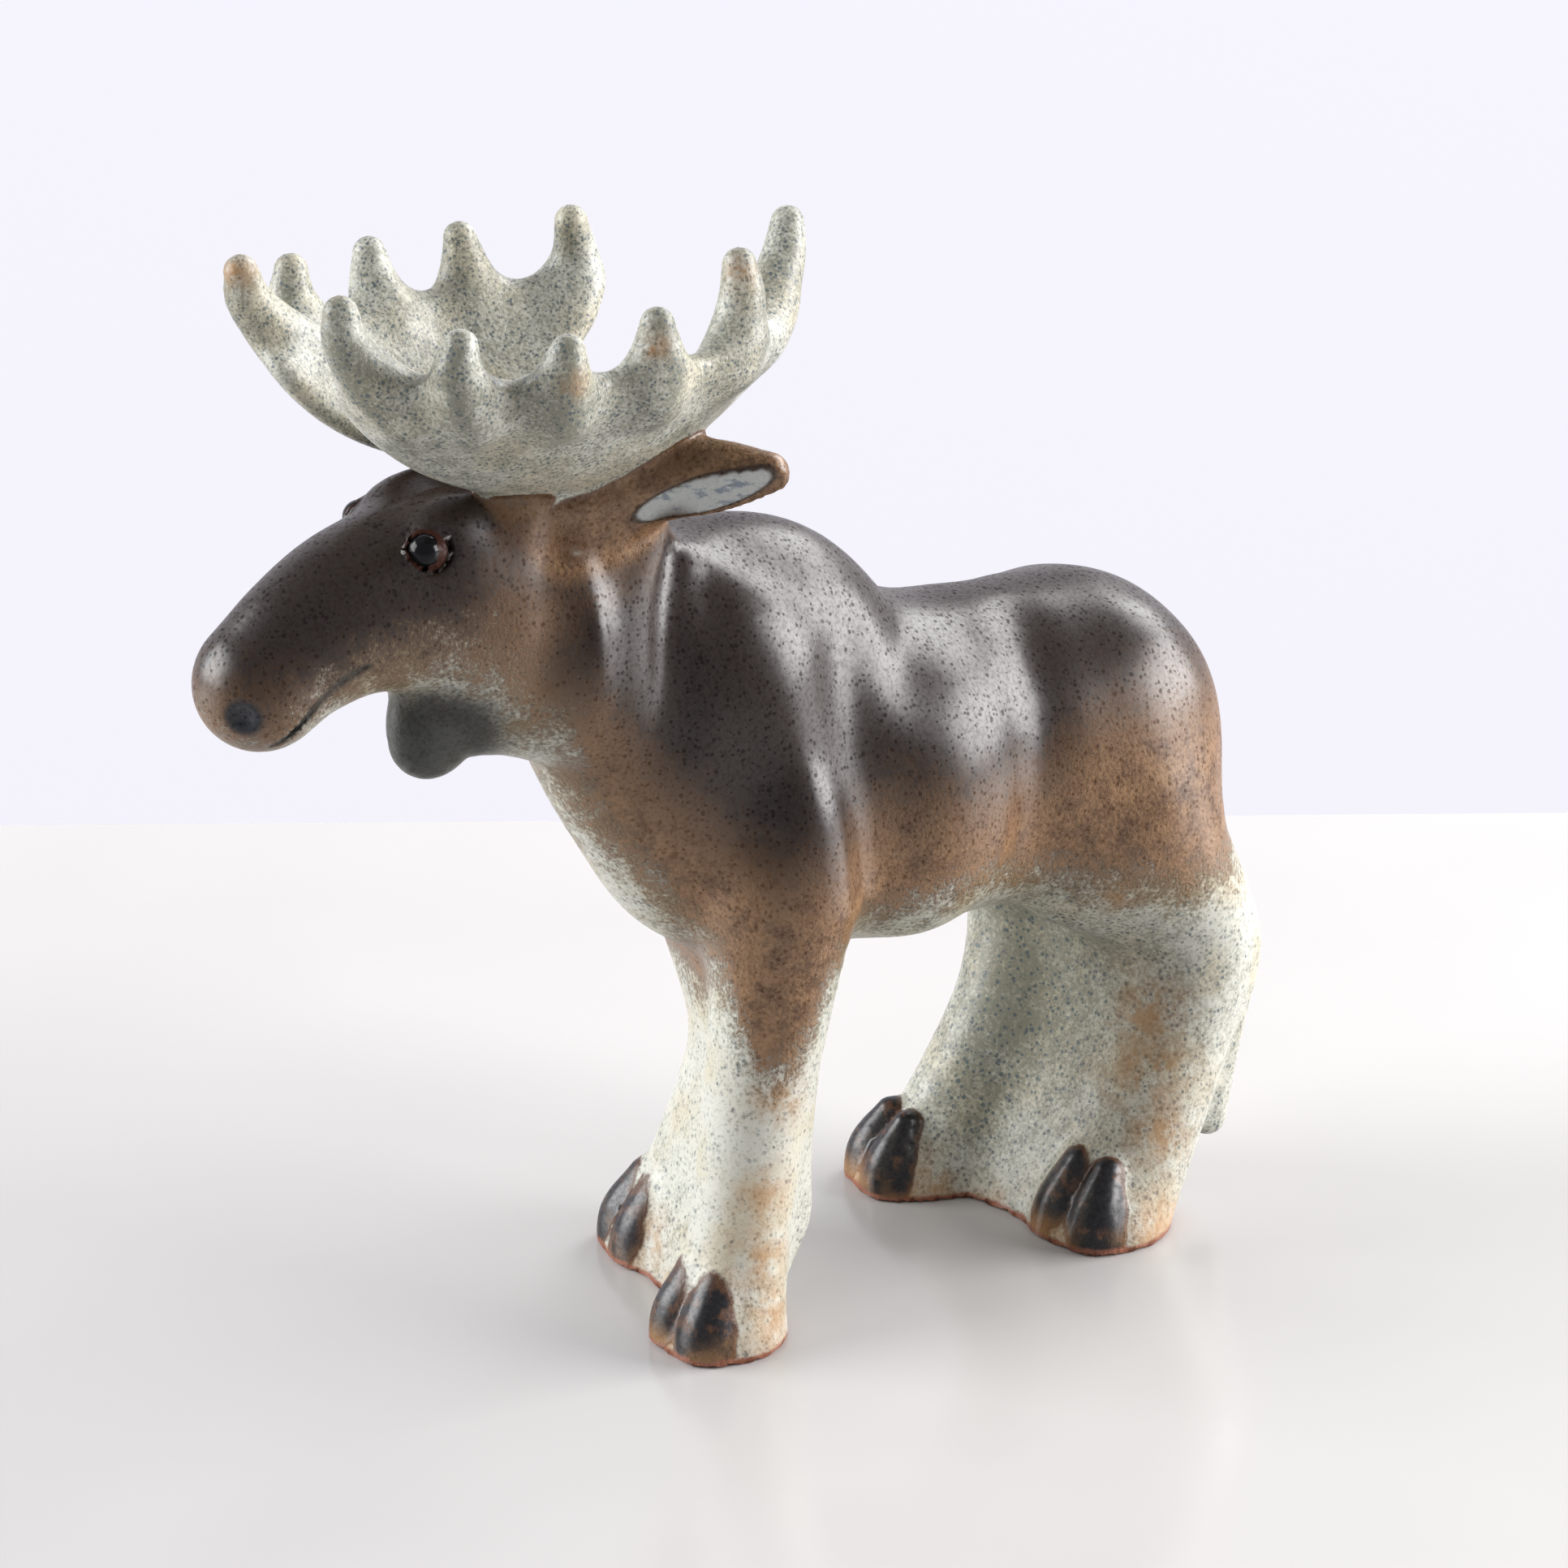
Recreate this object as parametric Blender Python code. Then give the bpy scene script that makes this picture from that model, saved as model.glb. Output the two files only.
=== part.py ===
"""Moose figurine in glazed stoneware: one fired piece that stands on its four feet.

The figure looks along -Y, its left side is +X and it stands on z = 0, over the middle of its box.
"""
import bpy
import bmesh
import numpy as np
from mathutils import Matrix, Vector

# driving dimensions, in metres
FIGURE_HEIGHT = 0.231       # ground to the tip of the tallest tine
ANTLER_WALL = 0.0064        # thickness of the palms
TINE_TIP_RADIUS = 0.0033
EYE_RADIUS = 0.0031
NOSTRIL_RADIUS = 0.0042
TOE_RADIUS = 0.0056
TENDON_RADIUS = 0.0038      # ridge behind each shank

# the pose and the carving are shares of the height: the figure stands 231 units high
UNITS_HIGH = 231
UNIT = FIGURE_HEIGHT / UNITS_HIGH
SPACE_LOW = np.array([-56.0, -160.0, -6.0])
SPACE_HIGH = np.array([56.0, 104.0, 240.0])

# the mesh
CELL = 2.0                  # grid the surface is found on, in units
COARSE = 4                  # cells in a step of the first, coarse look
TRIANGLES = 9600
DROP = 3.0                  # the legs are made this much too long and cut flat

GLAZE_BROWN = (0.115, 0.062, 0.038, 1.0)
GLAZE_ROUGHNESS = 0.38


# shapes: each gives every point's distance from a surface, less than zero inside

def turned(turn):
    """Matrix of a turn about x, then y, then z, in degrees."""
    (cx, cy, cz), (sx, sy, sz) = np.cos(np.radians(turn)), np.sin(np.radians(turn))
    about_x = np.array([[1, 0, 0], [0, cx, -sx], [0, sx, cx]])
    about_y = np.array([[cy, 0, sy], [0, 1, 0], [-sy, 0, cy]])
    about_z = np.array([[cz, -sz, 0], [sz, cz, 0], [0, 0, 1]])
    return about_z @ about_y @ about_x


def ellipsoid(p, centre, radii, turn=(0, 0, 0)):
    q = (p - np.array(centre)) @ turned(turn)
    radii = np.array(radii, float)
    scaled = np.sqrt(((q / radii) ** 2).sum(1))
    slope = np.sqrt(((q / radii ** 2) ** 2).sum(1)) + 1e-9
    return scaled * (scaled - 1) / slope


def cone(p, start, end, start_radius, end_radius):
    """Cone with round ends."""
    along = end - start
    share = np.clip(((p - start) @ along) / (along @ along), 0, 1)
    off = p - start - share[:, None] * along
    return np.sqrt((off ** 2).sum(1)) - (start_radius + (end_radius - start_radius) * share)


def curve_through(rows, steps):
    """Points on a smooth curve through rows of numbers."""
    rows = np.array(rows, float)
    padded = np.vstack([2 * rows[0] - rows[1], rows, 2 * rows[-1] - rows[-2]])
    points = []
    for i in range(len(rows) - 1):
        a, b, c, d = padded[i:i + 4]
        for step in range(steps):
            t = step / steps
            points.append(b + 0.5 * t * (c - a + t * (2 * a - 5 * b + 4 * c - d + t * (3 * (b - c) + d - a))))
    return np.array(points + [rows[-1]])


def limb(p, stations, steps=4, width=1.0):
    """Round limb through stations (x, y, z, radius); width is its share across the figure."""
    stretch = np.array([1 / width, 1, 1])
    points = curve_through(stations, steps)
    distance = np.full(len(p), 1e9)
    for a, b in zip(points[:-1], points[1:]):
        piece = cone(p * stretch, a[:3] * stretch, b[:3] * stretch, a[3], b[3])
        distance = np.minimum(distance, piece)
    return distance


def body_tube(p, stations, steps=8):
    """Tube along the middle of the figure through stations (y, z, radius, share of width)."""
    points = curve_through(stations, steps)
    distance = np.full(len(p), 1e9)
    for a, b in zip(points[:-1], points[1:]):
        along = b[:2] - a[:2]
        share = np.clip(((p[:, 1:] - a[:2]) @ along) / (along @ along), 0, 1)
        off = p[:, 1:] - a[:2] - share[:, None] * along
        across = p[:, 0] / (a[3] + (b[3] - a[3]) * share)
        radius = a[2] + (b[2] - a[2]) * share
        distance = np.minimum(distance, np.sqrt((off ** 2).sum(1) + across ** 2) - radius)
    return distance


def join(a, b, soft):
    """Both shapes together, with a fillet where they meet."""
    reach = 1.5 * soft
    near = np.maximum(reach - np.abs(a - b), 0) / reach
    return np.minimum(a, b) - near ** 3 * reach / 6


def shared(a, b, soft):
    """What two shapes have in common, with a rounded edge."""
    return -join(-a, -b, soft)


def carve(a, b, soft):
    """The first shape with the second taken out of it."""
    return -join(-a, b, soft)


def mirrored(p):
    return p * np.array([-1.0, 1.0, 1.0])


def pair(p, shape, *sizes):
    """A shape on the left side and its mirror image on the right."""
    return np.minimum(shape(p, *sizes), shape(mirrored(p), *sizes))


# the feet: place of each foot and the way its toes point, in degrees to the left
FEET = {
    "fore_left": (24.5, -49.5, 5),
    "fore_right": (-18.5, -35.5, -12),
    "hind_left": (28.0, 46.0, 10),
    "hind_right": (-15.5, 26.5, -10),
}


def trunk(p):
    d = body_tube(p, [(51.5, 104.5, 34.6, 0.88), (30, 105.5, 34.5, 0.9), (8, 106.5, 35.5, 0.9),
                      (-14, 110.5, 36.8, 0.86), (-34, 124, 37.2, 0.75), (-54, 141, 28, 0.86),
                      (-74, 151, 24, 0.86), (-92, 161, 18, 0.9)])
    d = join(d, ellipsoid(p, (0, -28, 131), (20, 30, 32)), 14)
    d = join(d, pair(p, ellipsoid, (13.3, -62.5, 153), (10.6, 11, 24), (-8, 0, 0)), 8)
    d = join(d, pair(p, ellipsoid, (14, 3, 105), (20.5, 22, 30)), 6)
    d = join(d, pair(p, ellipsoid, (14, 54, 99), (19, 26.5, 35), (-8, 0, 0)), 6)
    d = join(d, pair(p, ellipsoid, (15.5, -37, 129), (15, 18.5, 30), (10, 0, 0)), 5)
    d = join(d, pair(p, ellipsoid, (20, -32, 106), (16.5, 15, 21)), 6)
    return join(d, ellipsoid(p, (-1, -31.5, 105), (24, 28.5, 29.5), (-4, 0, 0)), 8)


# valleys between the muscles of the left side: stations (x, y, z, radius) of the round tool that cuts each
NECK_CREASE = [(17.8, -53, 167, 2.5), (25.4, -56.6, 156, 3), (28.2, -57.6, 145, 3.2), (28, -58, 131, 2.2)]
CHEEK_VALLEY = [(24, -78.5, 166, 4.5), (25.5, -82, 156, 6), (24, -86, 148, 5)]
BLADE_FRONT = [(25, -48.5, 162, 6.5), (32, -48, 151, 8.2), (35.3, -48.5, 137, 8.5), (35.2, -48, 122, 8.2),
               (35.5, -48.5, 112, 7)]
BLADE_BACK = [(26.5, -14, 151, 6), (32.5, -18, 141, 8), (37, -19.5, 126, 8.2), (39, -16.5, 112, 8.2),
              (38, -14, 98, 7.5)]
FLANK = [(15.5, 33, 144, 5.5), (32, 27.5, 128.5, 8.2), (38, 26, 110, 8.5), (35, 26, 88, 8)]


def valleys(p):
    distance = np.full(len(p), 1e9)
    for stations in (CHEEK_VALLEY, BLADE_FRONT, BLADE_BACK, FLANK):
        distance = np.minimum(distance, pair(p, limb, stations))
    return distance


def neck_creases(p):
    return pair(p, limb, NECK_CREASE)


def tail(p):
    return ellipsoid(p, (0, 84.3, 107), (5.5, 7, 12), (8, 0, 0))


def head(p):
    d = body_tube(p, [(-135.5, 153, 12.3, 1.0), (-127, 158.5, 14, 0.95), (-114, 163, 16.5, 0.95),
                      (-98, 164, 18.5, 0.95), (-84, 161, 19, 0.95)])
    d = join(d, ellipsoid(p, (0, -136.5, 151.5), (12.2, 12, 12)), 3)
    d = join(d, pair(p, ellipsoid, (8, -96.5, 176), (7, 11, 8), (-14, 0, 8)), 6)
    d = join(d, ellipsoid(p, (0, -124, 151), (9, 13, 5), (24, 0, 0)), 3)
    dewlap = limb(p, [(0, -88, 142, 12), (0, -98, 138, 10), (0, -100, 134, 8.5)], width=0.75)
    return join(d, dewlap, 6)


def nostrils(p):
    radius = NOSTRIL_RADIUS / UNIT
    return pair(p, ellipsoid, (10.4, -146.2, 149), (radius * 0.8, radius * 0.8, radius * 0.75))


def eyes(p):
    radius = EYE_RADIUS / UNIT
    return pair(p, ellipsoid, (12.6, -106, 176.2), (radius, radius, radius))


def eye_sockets(p):
    radius = EYE_RADIUS / UNIT
    return pair(p, ellipsoid, (14.6, -106.8, 176.9), (radius * 1.2, radius * 1.5, radius * 1.4))


# an ear leans out and back; its opening is a flat oval that looks out and down
EAR_OPENING = np.array([33.0, -57.5, 182.0])
EAR_LOOKS = np.array([0.70, -0.50, -0.51])
EAR_STATIONS = [(9, -78, 174, 8.5), (17, -64.5, 182.2, 8.6), (30, -55.2, 186.3, 7.3),
                (41.2, -48.8, 188.8, 4.1)]


def ear(p):
    return shared(limb(p, EAR_STATIONS, steps=6), (p - EAR_OPENING) @ EAR_LOOKS, 0.8)


def ears(p):
    return pair(p, ear)


def fore_legs(p):
    fore_left = limb(p, [(21, -32, 92, 15), (20, -34, 70, 12), (20, -38, 48, 10.5), (23, -44, 22, 10),
                         FEET["fore_left"][:2] + (-DROP, 12)])
    fore_right = limb(p, [(-21, -25, 92, 15), (-16.5, -20, 70, 12), (-12.5, -18, 48, 10.5),
                          (-16, -26, 22, 10), FEET["fore_right"][:2] + (-DROP, 12)])
    fore_web = limb(p, [(0, -28, 72, 8), (2, -28, 48, 7), (3, -34, 22, 7), (3, -42, -DROP, 7)], width=1.6)
    both = join(join(fore_left, fore_right, 8), fore_web, 14)
    return join(both, fore_tendons(p), 5)


def fore_tendons(p):
    r = TENDON_RADIUS / UNIT
    left = limb(p, [(20, -29.5, 50, r * 0.9), (20.8, -29.8, 32, r), (21, -30.2, 21, r * 1.1),
                    (21.5, -34, 13, r * 0.8)])
    right = limb(p, [(-13, -9.5, 50, r * 0.9), (-14, -12, 32, r), (-15, -13, 21, r * 1.1),
                     (-16, -17, 13, r * 0.8)])
    return np.minimum(left, right)


def hind_legs(p):
    hind_left = limb(p, [(18, 58, 90, 17), (21, 74, 62, 12.5), (22, 70, 40, 11.5), (25, 59, 18, 11.5),
                         FEET["hind_left"][:2] + (-DROP, 12.5)])
    hind_right = limb(p, [(-18, 54, 90, 17), (-18, 58, 62, 12.5), (-14, 52, 40, 11.5), (-15, 40, 18, 11),
                          FEET["hind_right"][:2] + (-DROP, 12.5)])
    hind_web = limb(p, [(0, 58, 78, 9), (2, 62, 56, 9), (3, 58, 34, 9), (5, 40, -DROP, 8)], width=1.6)
    both = join(join(hind_left, hind_right, 8), hind_web, 14)
    return join(both, hind_tendons(p), 5)


def hind_tendons(p):
    r = TENDON_RADIUS / UNIT
    left = limb(p, [(22, 76, 72, r * 1.6), (24, 85, 56, r), (24, 82, 38, r * 0.9), (25, 76.5, 17, r)])
    right = limb(p, [(-20, 66, 72, r * 1.6), (-20, 70, 56, r), (-17, 66, 38, r * 0.9), (-16, 58, 17, r)])
    return np.minimum(left, right)


def toes(p, foot):
    x, y, heading = FEET[foot]
    heading = np.radians(heading)
    ahead = np.array([np.sin(heading), -np.cos(heading)])
    aside = np.array([np.cos(heading), np.sin(heading)])
    radius = TOE_RADIUS / UNIT
    distance = np.full(len(p), 1e9)
    for side in (-1, 1):
        stations = []
        for forward, apart, height, share in ((6.6, 5, -DROP, 1.1), (7, 4.7, 6, 1), (3.4, 4, 15, 0.5)):
            place = np.array([x, y]) + ahead * forward + aside * side * apart
            stations.append((place[0], place[1], height, radius * share))
        distance = np.minimum(distance, limb(p, stations, steps=10))
    return distance


def feet(p):
    distance = np.full(len(p), 1e9)
    for name, (x, y, heading) in FEET.items():
        pad = ellipsoid(p, (x, y, -DROP), (13, 13, 17))
        distance = np.minimum(distance, join(pad, toes(p, name), 1.0))
    return distance


# tines from front to back, on the left palm and on the right one seen in a mirror: root, middle, tip
LEFT_TINES = [
    ((22, -115, 207), (20, -125.5, 220), (19.5, -127, 227)),
    ((31, -106.5, 207), (33.7, -111, 216), (34, -110.5, 221.5)),
    ((37, -91, 207), (40.5, -93, 214.5), (41.5, -92.5, 219.5)),
    ((38, -71.5, 207), (39.5, -72, 215), (39.5, -72, 221)),
    ((32, -51, 209), (31.3, -48, 220), (30.5, -48, 226.7)),
    ((22, -39, 210), (15.5, -28.5, 220.5), (12.5, -25, UNITS_HIGH - 3.3)),
]
RIGHT_TINES = [
    ((21, -110, 206), (20.5, -123.5, 218.5), (19.5, -126.5, 226)),
    ((30.5, -104.5, 205), (33, -108.5, 214), (33.5, -108.5, 220.5)),
    ((35.5, -86, 205), (39.5, -87, 213), (40.5, -87.5, 219.3)),
    ((37.5, -66, 205), (38.5, -67, 213.5), (39, -68, 219.8)),
    ((32, -49, 205), (32.5, -45.5, 213.5), (30.5, -47.5, 222)),
]
BOWL_CENTRE = (5, -76.5, 231)
BOWL_RADII = (36, 53, 46)
BACK_BALL = (82, -110, 231)     # centre of the ball whose surface is the right palm's back edge
BACK_RADIUS = 90


def palm(p, tines, rim, cut_back):
    """Left antler: a shell of a bowl under a level rim, open towards the middle, with its tines."""
    wall = ANTLER_WALL / UNIT
    shell = np.abs(ellipsoid(p, BOWL_CENTRE, BOWL_RADII)) - wall / 2
    d = shared(shared(shell, p[:, 2] - rim, wall * 0.8), 10 - p[:, 0], wall * 0.8)
    if cut_back:
        d = shared(d, ellipsoid(p, BACK_BALL, (BACK_RADIUS,) * 3), wall * 0.8)
    tip_radius = TINE_TIP_RADIUS / UNIT
    for root, middle, tip in tines:
        tine = limb(p, [root + (wall * 0.75,), middle + (wall * 0.7,), tip + (tip_radius,)], steps=4)
        d = join(d, tine, 7)
    stem = limb(p, [(8, -88, 172, 8), (10, -86, 182, 7), (12, -84, 190, 7)], steps=2)
    return join(d, stem, 2.5)


def left_antler(p):
    return palm(p, LEFT_TINES, 213, False)


def right_antler(p):
    return palm(mirrored(p), RIGHT_TINES, 210.5, True)


# the figure: each shape, how softly it joins the rest, and the box it is worked out in
PIECES = [
    (head, 9, ((-50, -175, 90), (50, -50, 215))),
    (fore_legs, 8, ((-75, -90, -30), (75, 25, 135))),
    (hind_legs, 9, ((-75, -15, -30), (75, 125, 135))),
    (feet, 4, ((-75, -90, -30), (75, 90, 50))),
    (tail, 4, ((-30, 50, 65), (30, 120, 140))),
    (ears, 8.5, ((-75, -115, 130), (75, -15, 220))),
    (left_antler, 4, ((-30, -165, 140), (75, 15, 260))),
    (right_antler, 4, ((-75, -165, 140), (30, 15, 260))),
]
HOLLOWS = [
    (valleys, 6, ((-60, -105, 70), (60, 50, 190))),
    (neck_creases, 4, ((-40, -75, 115), (40, -35, 185))),
    (nostrils, 1.5, ((-30, -165, 130), (30, -125, 170))),
    (eye_sockets, 1.5, ((-30, -125, 160), (30, -90, 195))),
]


def figure(p):
    d = trunk(p)
    for shape, soft, (low, high) in PIECES:
        here = ((p > low) & (p < high)).all(1)
        d[here] = join(d[here], shape(p[here]), soft)
    for shape, soft, (low, high) in HOLLOWS:
        here = ((p > low) & (p < high)).all(1)
        d[here] = carve(d[here], shape(p[here]), soft)
    return join(d, eyes(p), 0.4)


# from the field to a mesh

def sampled(field):
    """The field's values on the grid, worked out only near the surface."""
    cells = np.ceil((SPACE_HIGH - SPACE_LOW) / CELL / COARSE).astype(int) * COARSE
    axes = [SPACE_LOW[i] + CELL * np.arange(cells[i] + 1) for i in range(3)]
    sparse = np.stack(np.meshgrid(*[axis[::COARSE] for axis in axes], indexing="ij"), -1)
    rough = field(sparse.reshape(-1, 3)).reshape(sparse.shape[:3])
    nearest = [np.round(np.arange(n + 1) / COARSE).astype(int) for n in cells]
    values = rough[np.ix_(*nearest)]
    near = np.abs(values) < CELL * COARSE * 1.4 + 3
    values[near] = field(np.stack(np.meshgrid(*axes, indexing="ij"), -1)[near])
    return values


def without_pinches(values):
    """The grid with every place filled where the surface would touch itself along an edge."""
    values = values.copy()
    for axis in range(3):
        first, second = [i for i in range(3) if i != axis]
        corners = []
        for a, b in ((0, 0), (0, 1), (1, 1), (1, 0)):
            window = [slice(None)] * 3
            window[first] = slice(a, values.shape[first] - 1 + a)
            window[second] = slice(b, values.shape[second] - 1 + b)
            corners.append(values[tuple(window)])
        inside = [corner < 0 for corner in corners]
        crossed = (inside[0] == inside[2]) & (inside[1] == inside[3]) & (inside[0] != inside[1])
        for corner in corners:
            corner[crossed & (corner >= 0)] = -0.01
    return values


def net(values):
    """One vertex in each cell that the surface passes, one face for each grid edge that it crosses."""
    cells = tuple(n - 1 for n in values.shape)
    total = np.zeros(cells + (3,))
    count = np.zeros(cells)
    for corner in np.ndindex(2, 2, 2):
        for axis in range(3):
            if corner[axis]:
                continue
            other = [c + (i == axis) for i, c in enumerate(corner)]
            a = values[tuple(slice(c, c + n) for c, n in zip(corner, cells))]
            b = values[tuple(slice(c, c + n) for c, n in zip(other, cells))]
            crossed = (a < 0) != (b < 0)
            share = np.where(crossed, a / np.where(crossed, a - b, 1), 0)
            for i in range(3):
                total[..., i] += crossed * (corner[i] + (share if i == axis else 0))
            count += crossed
    used = count > 0
    number = np.full(cells, -1)
    number[used] = np.arange(used.sum())
    points = (np.argwhere(used) + total[used] / count[used][:, None]) * CELL + SPACE_LOW
    faces = []
    for axis in range(3):
        first, second = [step for i, step in enumerate(np.eye(3, dtype=int)) if i != axis]
        low = [slice(0, n - (i == axis)) for i, n in enumerate(values.shape)]
        high = [slice(int(i == axis), n) for i, n in enumerate(values.shape)]
        below, above = values[tuple(low)] < 0, values[tuple(high)] < 0
        edge = np.argwhere(below != above)
        corners = [edge - first - second, edge - second, edge, edge - first]
        quad = np.stack([number[tuple(c.T)] for c in corners], 1)
        outward = below[tuple(edge.T)] != (axis == 1)
        faces.append(np.where(outward[:, None], quad, quad[:, ::-1]))
    return points, np.concatenate(faces)


def settled(field, points, rounds=2):
    """Points moved onto the surface along its slope."""
    reach = 0.05
    for _ in range(rounds):
        value = field(points)
        slope = np.stack([field(points + reach * a) - field(points - reach * a) for a in np.eye(3)], 1)
        slope /= 2 * reach
        step = value[:, None] * slope / np.maximum((slope ** 2).sum(1), 0.05)[:, None]
        length = np.sqrt((step ** 2).sum(1))
        points = points - step * np.minimum(1, CELL / np.maximum(length, 1e-9))[:, None]
    return points


def make_mesh(field):
    values = sampled(field)
    filled = without_pinches(values)
    while (filled != values).any():
        values, filled = filled, without_pinches(filled)
    points, faces = net(values)
    points = np.round(settled(field, points), 3)
    mesh = bpy.data.meshes.new("moose")
    mesh.from_pydata(points * UNIT, [], faces.tolist())
    mesh.validate()
    return mesh


def thinned(mesh):
    """The mesh with as few triangles as the form needs."""
    draft = bpy.data.objects.new("draft", mesh)
    bpy.context.collection.objects.link(draft)
    modifier = draft.modifiers.new("thin", "DECIMATE")
    modifier.ratio = TRIANGLES / (2 * len(mesh.polygons))
    modifier.use_collapse_triangulate = True
    evaluated = draft.evaluated_get(bpy.context.evaluated_depsgraph_get())
    result = bpy.data.meshes.new_from_object(evaluated)
    bpy.data.objects.remove(draft)
    return result


def cut_flat(mesh):
    """Feet cut off at the ground, each with a flat sole."""
    bm = bmesh.new()
    bm.from_mesh(mesh)
    everything = bm.verts[:] + bm.edges[:] + bm.faces[:]
    cut = bmesh.ops.bisect_plane(bm, geom=everything, plane_co=Vector(), plane_no=Vector((0, 0, -1)),
                                 dist=1e-6, clear_outer=True)
    rim = [item for item in cut["geom_cut"] if isinstance(item, bmesh.types.BMEdge)]
    bmesh.ops.contextual_create(bm, geom=rim)
    bmesh.ops.dissolve_degenerate(bm, dist=2e-5, edges=bm.edges[:])
    bmesh.ops.triangulate(bm, faces=bm.faces[:])
    bm.to_mesh(mesh)
    bm.free()


def centred(mesh):
    """The middle of the figure's box moved over the origin, its soles kept on the ground."""
    corners = np.array([vertex.co for vertex in mesh.vertices])
    middle = (corners.min(0) + corners.max(0)) / 2
    mesh.transform(Matrix.Translation((-middle[0], -middle[1], 0)))


def glaze():
    material = bpy.data.materials.new("stoneware_glaze")
    material.use_nodes = True
    shader = material.node_tree.nodes["Principled BSDF"]
    shader.inputs["Base Color"].default_value = GLAZE_BROWN
    shader.inputs["Roughness"].default_value = GLAZE_ROUGHNESS
    shader.inputs["Metallic"].default_value = 0.0
    return material


for item in list(bpy.data.objects):
    bpy.data.objects.remove(item)

body = thinned(make_mesh(figure))
cut_flat(body)
centred(body)
body.materials.clear()
body.materials.append(glaze())
body.shade_smooth()
moose = bpy.data.objects.new("moose", body)
bpy.context.collection.objects.link(moose)
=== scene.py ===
"""The moose figurine's looks: the model's own form again, finer, with its carved details and its glaze."""

import bpy
import numpy as np
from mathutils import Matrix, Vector


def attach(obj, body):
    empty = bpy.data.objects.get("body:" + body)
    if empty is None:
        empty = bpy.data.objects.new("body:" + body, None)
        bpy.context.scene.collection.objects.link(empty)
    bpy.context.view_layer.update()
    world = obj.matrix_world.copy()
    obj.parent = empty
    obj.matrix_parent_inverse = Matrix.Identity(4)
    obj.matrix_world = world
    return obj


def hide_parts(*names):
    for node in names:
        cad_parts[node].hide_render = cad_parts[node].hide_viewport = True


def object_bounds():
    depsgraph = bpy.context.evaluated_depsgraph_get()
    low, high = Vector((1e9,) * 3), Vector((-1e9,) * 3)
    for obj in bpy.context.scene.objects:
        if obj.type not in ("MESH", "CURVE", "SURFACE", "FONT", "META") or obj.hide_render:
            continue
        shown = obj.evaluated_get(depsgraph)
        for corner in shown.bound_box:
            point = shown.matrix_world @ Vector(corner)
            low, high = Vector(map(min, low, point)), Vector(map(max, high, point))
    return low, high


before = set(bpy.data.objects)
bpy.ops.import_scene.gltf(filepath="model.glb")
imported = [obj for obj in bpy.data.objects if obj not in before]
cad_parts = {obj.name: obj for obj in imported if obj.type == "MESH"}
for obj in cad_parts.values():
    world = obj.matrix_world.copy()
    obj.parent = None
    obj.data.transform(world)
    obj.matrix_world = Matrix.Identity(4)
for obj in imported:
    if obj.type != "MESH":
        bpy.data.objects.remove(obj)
CAD_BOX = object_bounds()

# the model's sizes again, in metres
FIGURE_HEIGHT = 0.231       # ground to the tip of the tallest tine
ANTLER_WALL = 0.0064        # thickness of the palms
TINE_TIP_RADIUS = 0.0033
EYE_RADIUS = 0.0031
NOSTRIL_RADIUS = 0.0042
TOE_RADIUS = 0.0056
TENDON_RADIUS = 0.0038      # ridge behind each shank

# the figure stands 231 units high; lengths from here to the end of "the mesh" are in units
UNITS_HIGH = 231
UNIT = FIGURE_HEIGHT / UNITS_HIGH
SPACE_LOW = np.array([-56.0, -160.0, -6.0])
SPACE_HIGH = np.array([56.0, 104.0, 240.0])
CELL = 1.2
COARSE = 4                  # cells of the rough grid are this many times as large
DROP = 3.0                  # how far the legs reach below the ground before the soles are cut flat

# the camera, in metres and degrees
CAMERA_TARGET = Vector((-0.0053, 0.0148, 0.104))
CAMERA_AZIMUTH = 56.0
CAMERA_ELEVATION = 21.0
CAMERA_DISTANCE = 1.0
FOCAL_SHARE = 6000 / 1932   # focal length as a share of the picture's width
SENSOR_WIDTH = 36.0         # in millimetres


# shapes: each gives every point's distance from a surface, less than zero inside

def turned(turn):
    """Matrix of a turn about x, then y, then z, in degrees."""
    (cx, cy, cz), (sx, sy, sz) = np.cos(np.radians(turn)), np.sin(np.radians(turn))
    about_x = np.array([[1, 0, 0], [0, cx, -sx], [0, sx, cx]])
    about_y = np.array([[cy, 0, sy], [0, 1, 0], [-sy, 0, cy]])
    about_z = np.array([[cz, -sz, 0], [sz, cz, 0], [0, 0, 1]])
    return about_z @ about_y @ about_x


def ellipsoid(p, centre, radii, turn=(0, 0, 0)):
    q = (p - np.array(centre)) @ turned(turn)
    radii = np.array(radii, float)
    scaled = np.sqrt(((q / radii) ** 2).sum(1))
    slope = np.sqrt(((q / radii ** 2) ** 2).sum(1)) + 1e-9
    return scaled * (scaled - 1) / slope


def cone(p, start, end, start_radius, end_radius):
    """Cone with round ends."""
    along = end - start
    share = np.clip(((p - start) @ along) / (along @ along), 0, 1)
    off = p - start - share[:, None] * along
    return np.sqrt((off ** 2).sum(1)) - (start_radius + (end_radius - start_radius) * share)


def curve_through(rows, steps):
    """Points on a smooth curve through rows of numbers."""
    rows = np.array(rows, float)
    padded = np.vstack([2 * rows[0] - rows[1], rows, 2 * rows[-1] - rows[-2]])
    points = []
    for i in range(len(rows) - 1):
        a, b, c, d = padded[i:i + 4]
        for step in range(steps):
            t = step / steps
            square = 2 * a - 5 * b + 4 * c - d
            cube = 3 * (b - c) + d - a
            points.append(b + 0.5 * t * (c - a + t * (square + t * cube)))
    return np.array(points + [rows[-1]])


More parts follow.
